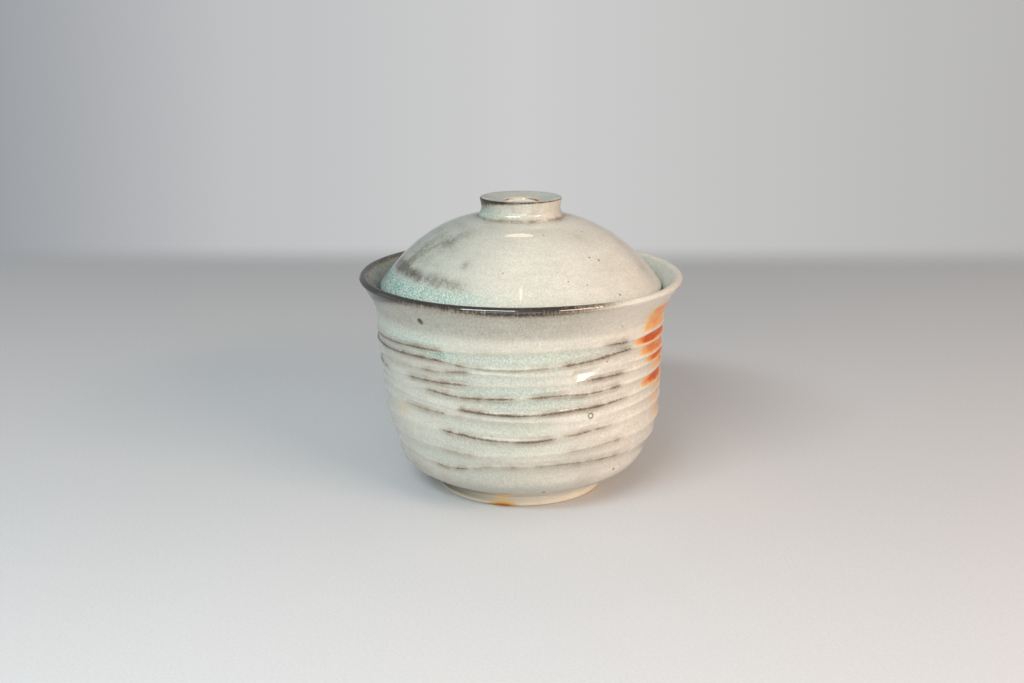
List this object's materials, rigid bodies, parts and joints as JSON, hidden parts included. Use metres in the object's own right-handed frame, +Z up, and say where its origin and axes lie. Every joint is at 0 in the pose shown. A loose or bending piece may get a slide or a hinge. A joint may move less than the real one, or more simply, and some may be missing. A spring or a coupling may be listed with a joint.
{
  "type": "lidded rice bowl",
  "caption": "Thrown ceramic rice bowl with a flared rim, scooped wall and foot ring, and a domed, knobbed lid that lifts off.",
  "frame": {"origin": "centre of the circle on which the foot ring stands, at table height", "axes": "+Z up along the bowl's axis of turning; -Y is the side seen from the front, +X to its right"},
  "size_m": [0.131, 0.131, 0.1201],
  "materials": {
    "bowl_glaze": "glossy cream and celadon crackle glaze with dark rim, thin brown ridge lines and orange flashing",
    "foot_clay": "bare buff stoneware, matt, with orange flashing",
    "lid_glaze": "glossy cream and celadon crackle glaze with smoky patches",
    "knob_glaze": "glossy celadon glaze with a dark brown top edge"
  },
  "bodies": {
    "bowl": {"bowl_body": "bowl_glaze", "foot_ring": "foot_clay"},
    "lid": {"lid_dome": "lid_glaze", "lid_knob": "knob_glaze"}
  },
  "joints": [
    {"name": "lid_lift", "type": "slide", "parent": "bowl", "child": "lid", "axis": [0, 0, 1], "range_m": [0, 0.08]}
  ]
}
